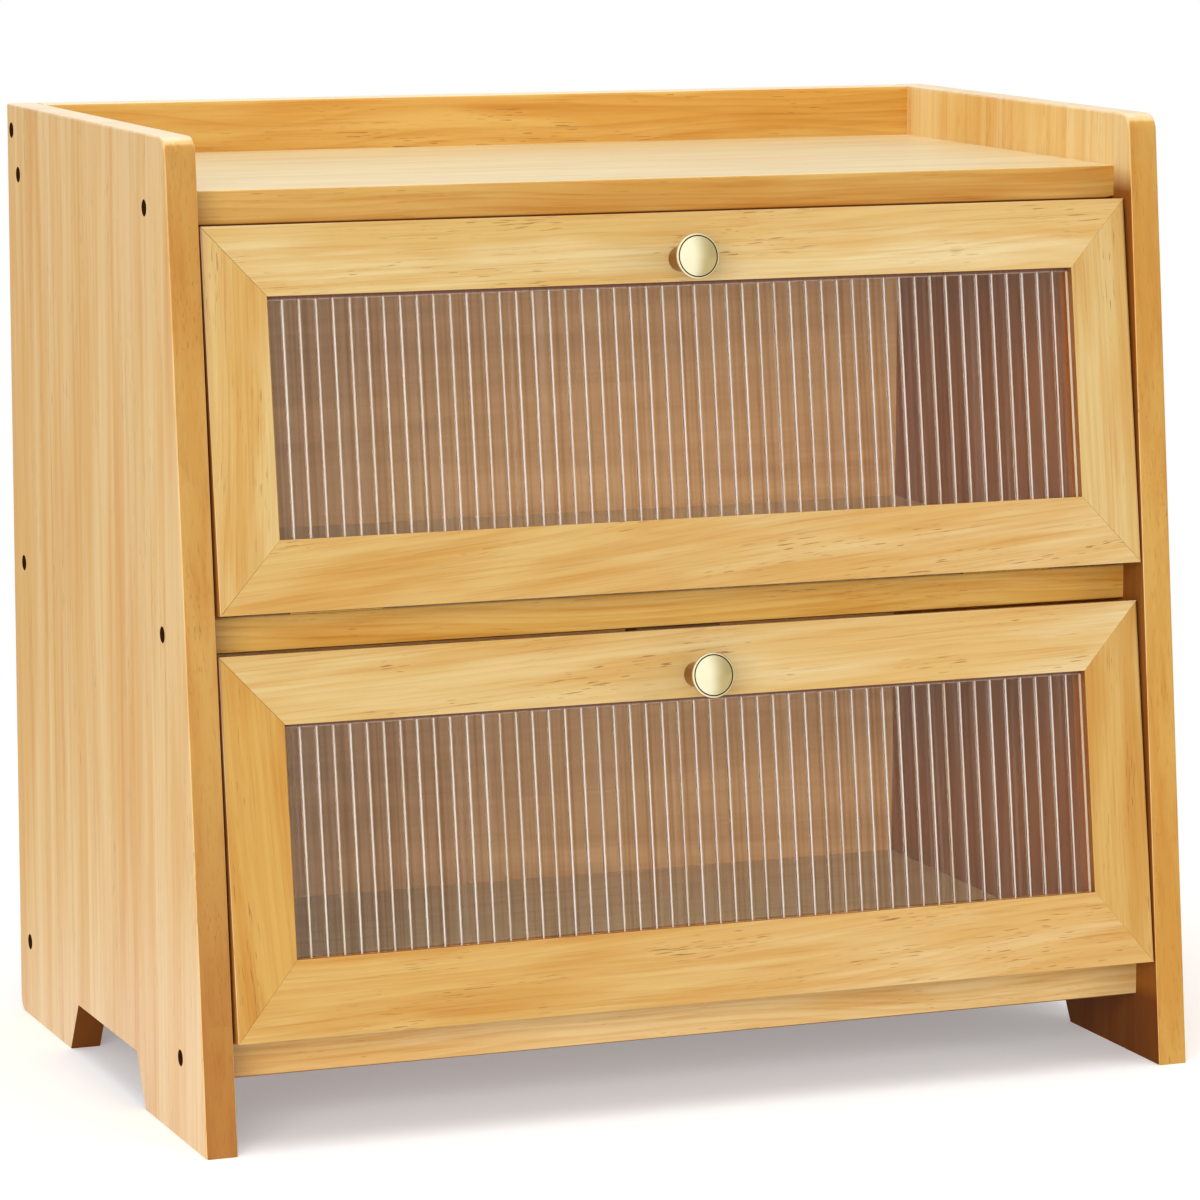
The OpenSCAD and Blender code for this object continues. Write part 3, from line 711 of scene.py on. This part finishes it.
class BREADBOX_OT_sides(bpy.types.Operator):
    """Makes the two raked sides, with eased edges, from glued-up pine"""

    bl_idname = "bread_box.sides"
    bl_label = "Sides"

    def execute(self, context):
        joinery = settings().joinery
        pine = settings().pine
        # Painted shade in the screw holes' walls, and on the cut-outs' darker sawn end grain
        bore = dull_solid("bored_end_grain", pine.bore_shade_colour, 0.4, 0.8, 0.1, 0.1)
        sawn = dull_solid("sawn_end_grain", pine.sawn_and_shade_colour, 0.5, 0.7, 0.1, 0.1)
        foot_fade = (FORWARD, DOWN, -190, -5, pine.foot_colour, 1.0)
        # For each side: the direction of its inner face, its front edge's colour, and how that edge fades
        looks = {"left": (1, pine.edge_colour, foot_fade), "right": (-1, pine.pale_edge_colour, None)}
        for seed, end in enumerate(ENDS, 1):
            node = f"side_{end}"
            side = merged_copy(node, f"{end}_side_board")
            for face in side.data.polygons:
                reach = [side.data.vertices[i].co.x for i in face.vertices]
                is_wall = abs(face.normal.x) < 0.5
                if is_wall and max(reach) - min(reach) < joinery.bore_depth:
                    face.material_index = 1
                elif is_wall and 1 * MM < face.center.z < joinery.arch_height:
                    face.material_index = 2 if abs(face.center.y) < joinery.arch_reach else 0
            ease_edges(side, side_widths(node))
            inward, front, fade = looks[end]
            # The sides' upper edges get a painted highlight, and their inner faces painted shade lower down
            wood = lacquered_pine(
                f"lacquered_pine_{end}_side", pine.side_colour, ALONG_Z, middle_of(node), seed, (20, -90),
                run=1.0, faces=[(FORWARD, front, 0.0), (UP, pine.top_highlight_colour, 0.5)], fade=fade, inner=inward,
                strips=True, rings=0.15, streaks=0.6, flecks=0.7,
            )
            dress(side, "case", "pine_side", wood, node)
            side.data.materials.append(bore)
            side.data.materials.append(sawn)
        return {"FINISHED"}


class BREADBOX_OT_shelves(bpy.types.Operator):
    """Makes the three shelves, the back rail and the finish of the back panel"""

    bl_idname = "bread_box.shelves"
    bl_label = "Shelves and Back"

    def execute(self, context):
        pine = settings().pine
        # The middle shelf's lifted colour is painted light against the shade of the upper door
        colours = {
            "bottom": pine.bottom_shelf_colour, "mid": pine.mid_shelf_lifted_colour, "top": pine.shelf_colour,
        }
        for seed, (name, colour) in enumerate(colours.items(), 3):
            node = f"{name}_shelf"
            shelf = merged_copy(node, f"{name}_shelf_board")
            ease_edges(shelf, shelf_widths(node))
            # Painted sheen on the shelves' upper faces, and painted shade on their lower front edges and
            # undersides
            wood = lacquered_pine(
                f"lacquered_pine_{name}_shelf", colour, ALONG_X, middle_of(node), seed, (-15, -55),
                faces=[(UP, pine.shelf_top_sheen_colour, 0.5), ((0, -0.5, -0.87), pine.sawn_and_shade_colour, 0.5)],
                strips=True, streaks=0.7, flecks=0.6,
            )
            dress(shelf, "case", "pine_shelf", wood, node)
        rail = merged_copy("back_rail", "back_rail_board")
        ease_edges(rail, rail_widths("back_rail"))
        # Painted highlight on the rail's upper edges
        wood = lacquered_pine(
            "lacquered_pine_back_rail", pine.rail_colour, ALONG_X, middle_of("back_rail"), 6, (60, -20),
            faces=[(UP, pine.top_highlight_colour, 0.65)],
        )
        dress(rail, "case", "pine_shelf", wood, "back_rail")
        paint("back_panel", thin_plywood("thin_plywood"))
        return {"FINISHED"}


# ---- doors ----

# How warm a colour each board has, from the palest to the most orange
WARMTH = {
    "upper": {"top_rail": 0.1, "bottom_rail": 0.65, "left_stile": 0.4, "right_stile": 0.35},
    "lower": {"top_rail": 0.3, "bottom_rail": 0.8, "left_stile": 1.0, "right_stile": 0.85},
}

# How many degrees each board's grain runs off its length
SLANT = {
    "upper": {"top_rail": 1, "bottom_rail": 5, "left_stile": -2, "right_stile": 1},
    "lower": {"top_rail": 3, "bottom_rail": 1.5, "left_stile": 3, "right_stile": -2},
}

# Each member's place in a door: the axis that it runs along, the axis across it, and its outer side on that
MEMBERS = {
    "top_rail": (0, 2, 1),
    "bottom_rail": (0, 2, 0),
    "left_stile": (2, 0, 0),
    "right_stile": (2, 0, 1),
}


def member_widths(tier, member):
    """Gives the ease on each edge of a frame member: outer edges, edges round the window, and mitre lines."""
    joinery = settings().joinery
    along, across, outer_side = MEMBERS[member]
    turn = upright(tier)
    corners = upright_box(tier, f"{tier}_door_{member}")

    def width_of(edge):
        ends = [turn @ v.co for v in edge.verts]
        run = ends[1] - ends[0]
        on_face = any(all(abs(p.y - corner.y) < TOUCH for p in ends) for corner in corners)
        if not on_face or run.length < 8 * MM:
            return 0
        if abs(run[along]) < 0.99 * run.length:
            return joinery.mitre_ease
        is_outer = abs(ends[0][across] - corners[outer_side][across]) < 0.1 * MM
        return joinery.door_ease if is_outer else joinery.window_ease

    return width_of


class BREADBOX_OT_doors(bpy.types.Operator):
    """Makes the mitred frames of the two doors, member by member"""

    bl_idname = "bread_box.doors"
    bl_label = "Door Frames"

    def execute(self, context):
        pine = settings().pine
        lean = settings().joinery.door_lean
        # Painted light: the rails' fronts turn paler toward their right-hand ends
        rail_end_light = (FORWARD, RIGHT, -100, 160, pine.far_end_light_colour, 0.42)
        seed = 7
        for tier in TIERS:
            for member, (along, across, outer_side) in MEMBERS.items():
                outward = [0, 0, 0]
                outward[across] = 1 if outer_side else -1
                node = f"{tier}_door_{member}"
                piece = merged_copy(node, f"{node}_board")
                ease_edges(piece, member_widths(tier, member))
                is_stile = along == 2
                grain = (lean, math.radians(SLANT[tier][member] + (90 if is_stile else 0)), 0)
                pith = (5 * (seed % 3) - 5, -38 - 4 * (seed % 4))
                warmth = WARMTH[tier][member]
                colour = [a + warmth * (b - a) for a, b in zip(pine.door_colour, pine.warm_colour)]
                # Painted highlight on outer edges, painted shade toward the window and on the rails' outer
                # faces
                wood = lacquered_pine(
                    f"lacquered_pine_{node}", colour, grain, middle_of(node), seed, pith,
                    fade=None if is_stile else rail_end_light,
                    rim=(outward, pine.seam_colour if is_stile else pine.shaded_colour), rings=0.35,
                )
                dress(piece, f"{tier}_door", "pine_door", wood, node)
                seed += 1
        return {"FINISHED"}


class BREADBOX_OT_windows(bpy.types.Operator):
    """Gives the two window sheets the finish of ribbed acrylic"""

    bl_idname = "bread_box.windows"
    bl_label = "Windows"

    def execute(self, context):
        lean = settings().joinery.door_lean
        up = Vector((0, math.sin(lean), math.cos(lean)))
        for tier in TIERS:
            low, _high = upright_box(tier, f"{tier}_door_top_rail")
            groove_height = up.dot(hinge_point(tier)) + low.z
            paint(f"{tier}_window", ribbed_acrylic(f"ribbed_acrylic_{tier}", up, groove_height))
        return {"FINISHED"}


# ---- hardware ----


def arc(centre, radius, start, stop, steps):
    """Points of a round stretch of a profile, between two angles in degrees."""
    turns = [math.radians(start + (stop - start) * i / steps) for i in range(steps + 1)]
    return [(centre[0] + radius * math.cos(a), centre[1] + radius * math.sin(a)) for a in turns]


def knob_profile(rim_r, height):
    """A knob's profile from the door outwards, each point a radius and a height in metres."""
    hardware = settings().hardware
    stem_r = hardware.knob_stem / 2
    flare_r = rim_r - stem_r
    rim_top = height - hardware.knob_dome
    rim_base = rim_top - hardware.knob_rim
    soft = hardware.knob_rim * 0.32
    groove_out = rim_r - hardware.knob_lip
    groove_in = groove_out - hardware.knob_groove
    dome_h = height - rim_top
    dome_r = (groove_in**2 + dome_h**2) / (2 * dome_h)
    dome_edge = math.degrees(math.asin(groove_in / dome_r))
    return [
        (stem_r, 0.0),
        *arc((rim_r, rim_base - flare_r), flare_r, 180, 97, 10),
        *arc((rim_r - soft, rim_base + soft), soft, -90, 0, 4),
        *arc((rim_r - soft, rim_top - soft), soft, 0, 90, 4),
        (groove_out, rim_top),
        (groove_out, rim_top - hardware.knob_groove),
        (groove_in, rim_top - hardware.knob_groove),
        *arc((0, height - dome_r), dome_r, 90 - dome_edge, 89, 16),
    ]


def turned(name, profile, sides=96):
    """A closed solid of revolution about Z: a disc extruded ring by ring up its profile."""
    bpy.ops.object.select_all(action="DESELECT")
    bpy.ops.mesh.primitive_circle_add(vertices=sides, radius=profile[0][0], fill_type="NGON")
    piece = bpy.context.object
    piece.name = name
    bpy.ops.object.mode_set(mode="EDIT")
    bpy.ops.mesh.select_all(action="SELECT")
    for (radius, height), (next_radius, next_height) in zip(profile, profile[1:]):
        bpy.ops.mesh.extrude_region_move(TRANSFORM_OT_translate={"value": (0, 0, next_height - height)})
        share = next_radius / radius
        bpy.ops.transform.resize(value=(share, share, 1), center_override=(0, 0, next_height))
    bpy.ops.mesh.select_all(action="SELECT")
    bpy.ops.mesh.normals_make_consistent(inside=False)
    bpy.ops.object.mode_set(mode="OBJECT")
    bpy.ops.object.shade_smooth_by_angle(angle=math.radians(35))
    return piece


class BREADBOX_OT_knobs(bpy.types.Operator):
    """Turns the two knobs from brass: a flared stem, a rim, a fine groove and a domed face"""

    bl_idname = "bread_box.knobs"
    bl_label = "Knobs"

    def execute(self, context):
        hardware = settings().hardware
        brass = satin_brass("satin_brass", hardware.brass_colour)
        stem_shade_brass = satin_brass("unpolished_brass_stem", hardware.stem_shade_colour)
        painted_groove_shade = dull_solid("tarnished_groove", hardware.painted_groove_shade_colour, 0.2, 0.5, 0.02, 0.1)
        for tier in TIERS:
            node = f"{tier}_knob"
            low, high = upright_box(tier, node)
            radius = (high.z - low.z) / 2
            height = high.y - low.y
            knob = turned(f"{tier}_turned_knob", knob_profile(radius, height))
            rim_top = height - hardware.knob_dome
            groove_out = radius - hardware.knob_lip
            # Painted shade and reflection below the rim, on the stem; painted shade in the groove
            for face in knob.data.polygons:
                out = max(math.hypot(*knob.data.vertices[i].co.xy) for i in face.vertices)
                if face.center.z < rim_top - hardware.knob_rim:
                    face.material_index = 1
                elif face.center.z < rim_top - 0.1 * MM and out < groove_out + TOUCH:
                    face.material_index = 2
            foot = Vector(((low.x + high.x) / 2, high.y, (low.z + high.z) / 2))
            stand = Matrix.Translation(foot) @ Matrix.Rotation(math.radians(90), 4, "X")
            knob.data.transform(upright(tier).inverted() @ stand)
            dress(knob, f"{tier}_door", "knob_brass", brass, node)
            knob.data.materials.append(stem_shade_brass)
            knob.data.materials.append(painted_groove_shade)
        return {"FINISHED"}


def sharp_widths(width):
    """Gives one ease to every edge that turns by more than 30 degrees."""

    def width_of(edge):
        return width if edge.calc_face_angle(0) > math.radians(30) else 0

    return width_of


class BREADBOX_OT_hinges(bpy.types.Operator):
    """Makes the plated hinge leaves with softened edges, and finishes their pins"""

    bl_idname = "bread_box.hinges"
    bl_label = "Hinges"

    def execute(self, context):
        hardware = settings().hardware
        plating = plated_steel("brass_plated_steel", hardware.hinge_colour, 0.6, 0.28)
        for tier in TIERS:
            for end in ENDS:
                for kind, body in (("fixed", "case"), ("door", f"{tier}_door")):
                    node = f"{tier}_{kind}_leaf_{end}"
                    leaf = merged_copy(node, f"{node}_plate")
                    ease_edges(leaf, sharp_widths(hardware.hinge_ease), 2)
                    dress(leaf, body, "hinge_metal", plating, node)
                paint(f"{tier}_hinge_pin_{end}", plating)
        return {"FINISHED"}


class BREADBOX_OT_catches(bpy.types.Operator):
    """Makes the moulded catch bodies, and finishes their magnets and strike plates"""

    bl_idname = "bread_box.catches"
    bl_label = "Catches"

    def execute(self, context):
        hardware = settings().hardware
        plastic = dull_solid("moulded_plastic", hardware.catch_colour, 0.5, 0.45, 0.03)
        ferrite = dull_solid("pressed_ferrite", hardware.ferrite_colour, 0.3, 0.6, 0.02)
        zinc = plated_steel("zinc_plated_strike", hardware.zinc_colour, 0.8, 0.3)
        for tier in TIERS:
            node = f"{tier}_catch_body"
            body = merged_copy(node, f"{tier}_catch_housing")
            ease_edges(body, sharp_widths(hardware.catch_ease), 3)
            dress(body, "case", "catch_plastic", plastic, node)
            paint(f"{tier}_catch_magnet", ferrite)
            paint(f"{tier}_strike_plate", zinc)
        return {"FINISHED"}


class BREADBOX_OT_screws(bpy.types.Operator):
    """Gives every screw its zinc plating"""

    bl_idname = "bread_box.screws"
    bl_label = "Screws"

    def execute(self, context):
        zinc = plated_steel("zinc_plated_screw", settings().hardware.zinc_colour, 0.4, 0.34)
        for node in frame["nodes"]:
            if "screw" in node:
                paint(node, zinc)
        return {"FINISHED"}


# ---- stage ----

# How mirror images fade: the direction in which they do, the shares of it where the fading starts and ends,
# and the strength before and after it
SKY_MIRROR = (RIGHT, -0.1, 1.0, 1.15, 0.5)
FLOOR_MIRROR = ((0.85, 0.53, 0), -0.6, 0.2, 1.1, 0.6)

# Where each lamp stands and the side of its square, and the point that all are turned to, in metres
LAMPS = {"key": ((-1.6, -2.3, 0.85), 1.5), "top": ((-0.2, -0.3, 2.7), 1.8), "fill": ((2.3, -1.8, 0.7), 1.2)}
LAMP_TARGET = (0, 0, 0.18)


def looking(place, target):
    """The turn that points a camera or a lamp from a place to a target."""
    return (Vector(target) - Vector(place)).to_track_quat("-Z", "Y")


def soft_lamp(name, place, power, size):
    """A square soft lamp at a place, turned to the object. It has no mirror image in metal or glass."""
    lamp = bpy.data.lights.new(name, "AREA")
    lamp.energy = power
    lamp.size = size
    stand = bpy.data.objects.new(name, lamp)
    stand.location = place
    stand.visible_glossy = False
    stand.rotation_euler = looking(place, LAMP_TARGET).to_euler()
    bpy.context.scene.collection.objects.link(stand)


def light_for_rays(tree, kind, toward, lit, seen, mirror):
    """A light, of one strength for rays that light the object and another for what is seen directly or
    through glass. Its mirror images fade by direction, from white to a dim warm tone."""
    axis, start, stop, bright, dim = mirror
    path = add_node(tree, "LightPath").outputs
    glossy = path["Is Glossy Ray"]
    unscattered = maths(tree, "LESS_THAN", path["Diffuse Depth"], 0.5)
    through = maths(tree, "MULTIPLY", path["Is Transmission Ray"], unscattered)
    direct = maths(tree, "MAXIMUM", path["Is Camera Ray"], through)
    flat = graded(tree, direct, 0.0, 1.0, lit, seen)
    fade = graded(tree, along_axis(tree, toward, axis), start, stop, 0.0, 1.0, smooth=True)
    mirrored = graded(tree, fade, 0.0, 1.0, bright, dim)
    level = add_node(tree, "Mix", {"Factor": glossy, "A": flat, "B": mirrored}, data_type="FLOAT")
    tone = mixed(tree, maths(tree, "MULTIPLY", fade, glossy), (1, 1, 1, 1), (1, 0.84, 0.55, 1))
    return add_node(tree, kind, {"Color": tone, "Strength": level})


def pale_floor(name):
    """Matt white card: it takes the object's soft shadow, and turns plain white further off."""
    stage = settings().stage
    material, tree, place = new_material(name)
    point = place.outputs["Object"]
    reach = vectors(tree, "LENGTH", point).outputs["Value"]
    toward = vectors(tree, "NORMALIZE", point)
    far = graded(tree, reach, 0.4 * stage.floor_reach, stage.floor_reach, 0.0, 1.0, smooth=True)
    plain = maths(tree, "MAXIMUM", far, add_node(tree, "LightPath").outputs["Is Glossy Ray"])
    matte = add_node(tree, "BsdfDiffuse", {"Color": stage.floor_colour})
    lift = light_for_rays(tree, "Emission", toward, 0.0, 0.28, FLOOR_MIRROR)
    near = add_node(tree, "AddShader", {0: matte, 1: lift})
    white = light_for_rays(tree, "Emission", toward, stage.world_level, 1.0, FLOOR_MIRROR)
    show(tree, add_node(tree, "MixShader", {0: plain, 1: near, 2: white}))
    return material


class BREADBOX_OT_stage(bpy.types.Operator):
    """Sets the camera, the pale floor and the soft lamps"""

    bl_idname = "bread_box.stage"
    bl_label = "Camera, Floor and Lamps"

    def execute(self, context):
        stage = settings().stage
        scene = context.scene
        scene.view_settings.view_transform = "Standard"

        view = bpy.data.cameras.new("camera")
        view.lens = stage.camera_lens
        view.sensor_width = 36
        camera = bpy.data.objects.new("camera", view)
        aim = looking(stage.camera_place, stage.camera_target).to_matrix().to_4x4()
        turn = aim @ Matrix.Rotation(stage.camera_roll, 4, "Z")
        camera.matrix_world = Matrix.Translation(stage.camera_place) @ turn
        scene.collection.objects.link(camera)
        scene.camera = camera

        bpy.ops.object.select_all(action="DESELECT")
        bpy.ops.mesh.primitive_plane_add(size=40)
        floor = context.object
        floor.name = "pale_floor"
        floor.data.materials.append(pale_floor("pale_floor"))

        world = bpy.data.worlds.new("soft_room")
        world.use_nodes = True
        scene.world = world
        tree = world.node_tree
        tree.nodes.clear()
        toward = add_node(tree, "TexCoord").outputs["Generated"]
        sky = light_for_rays(tree, "Background", toward, stage.world_level, 1.0, SKY_MIRROR)
        show(tree, sky, "OutputWorld")

        for kind, (place, size) in LAMPS.items():
            soft_lamp(f"{kind}_lamp", place, getattr(stage, f"{kind}_power"), size)
        return {"FINISHED"}


# ---- add-on ----

PIECES = (
    BREADBOX_OT_stage,
    BREADBOX_OT_sides,
    BREADBOX_OT_shelves,
    BREADBOX_OT_doors,
    BREADBOX_OT_windows,
    BREADBOX_OT_knobs,
    BREADBOX_OT_hinges,
    BREADBOX_OT_catches,
    BREADBOX_OT_screws,
)


class BREADBOX_PT_panel(bpy.types.Panel):
    """Lists the makers of the bread box and their settings"""

    bl_idname = "BREADBOX_PT_panel"
    bl_label = "Bread Box"
    bl_space_type = "VIEW_3D"
    bl_region_type = "UI"
    bl_category = "Bread Box"

    def draw(self, context):
        for maker in PIECES:
            self.layout.operator(maker.bl_idname)
        for group in ("joinery", "pine", "hardware", "stage"):
            values = getattr(context.scene.bread_box, group)
            box = self.layout.box()
            box.label(text=group.title())
            for name in values.__annotations__:
                box.prop(values, name)


CLASSES = (
    BreadBoxJoinery,
    BreadBoxPine,
    BreadBoxHardware,
    BreadBoxStage,
    BreadBoxSettings,
    *PIECES,
    BREADBOX_PT_panel,
)


def register():
    for item in CLASSES:
        bpy.utils.register_class(item)
    bpy.types.Scene.bread_box = bpy.props.PointerProperty(type=BreadBoxSettings)


def unregister():
    del bpy.types.Scene.bread_box
    for item in reversed(CLASSES):
        bpy.utils.unregister_class(item)


def main():
    """Makes every piece in order."""
    register()
    for maker in PIECES:
        group, name = maker.bl_idname.split(".")
        getattr(getattr(bpy.ops, group), name)()


if __name__ == "__main__":
    main()
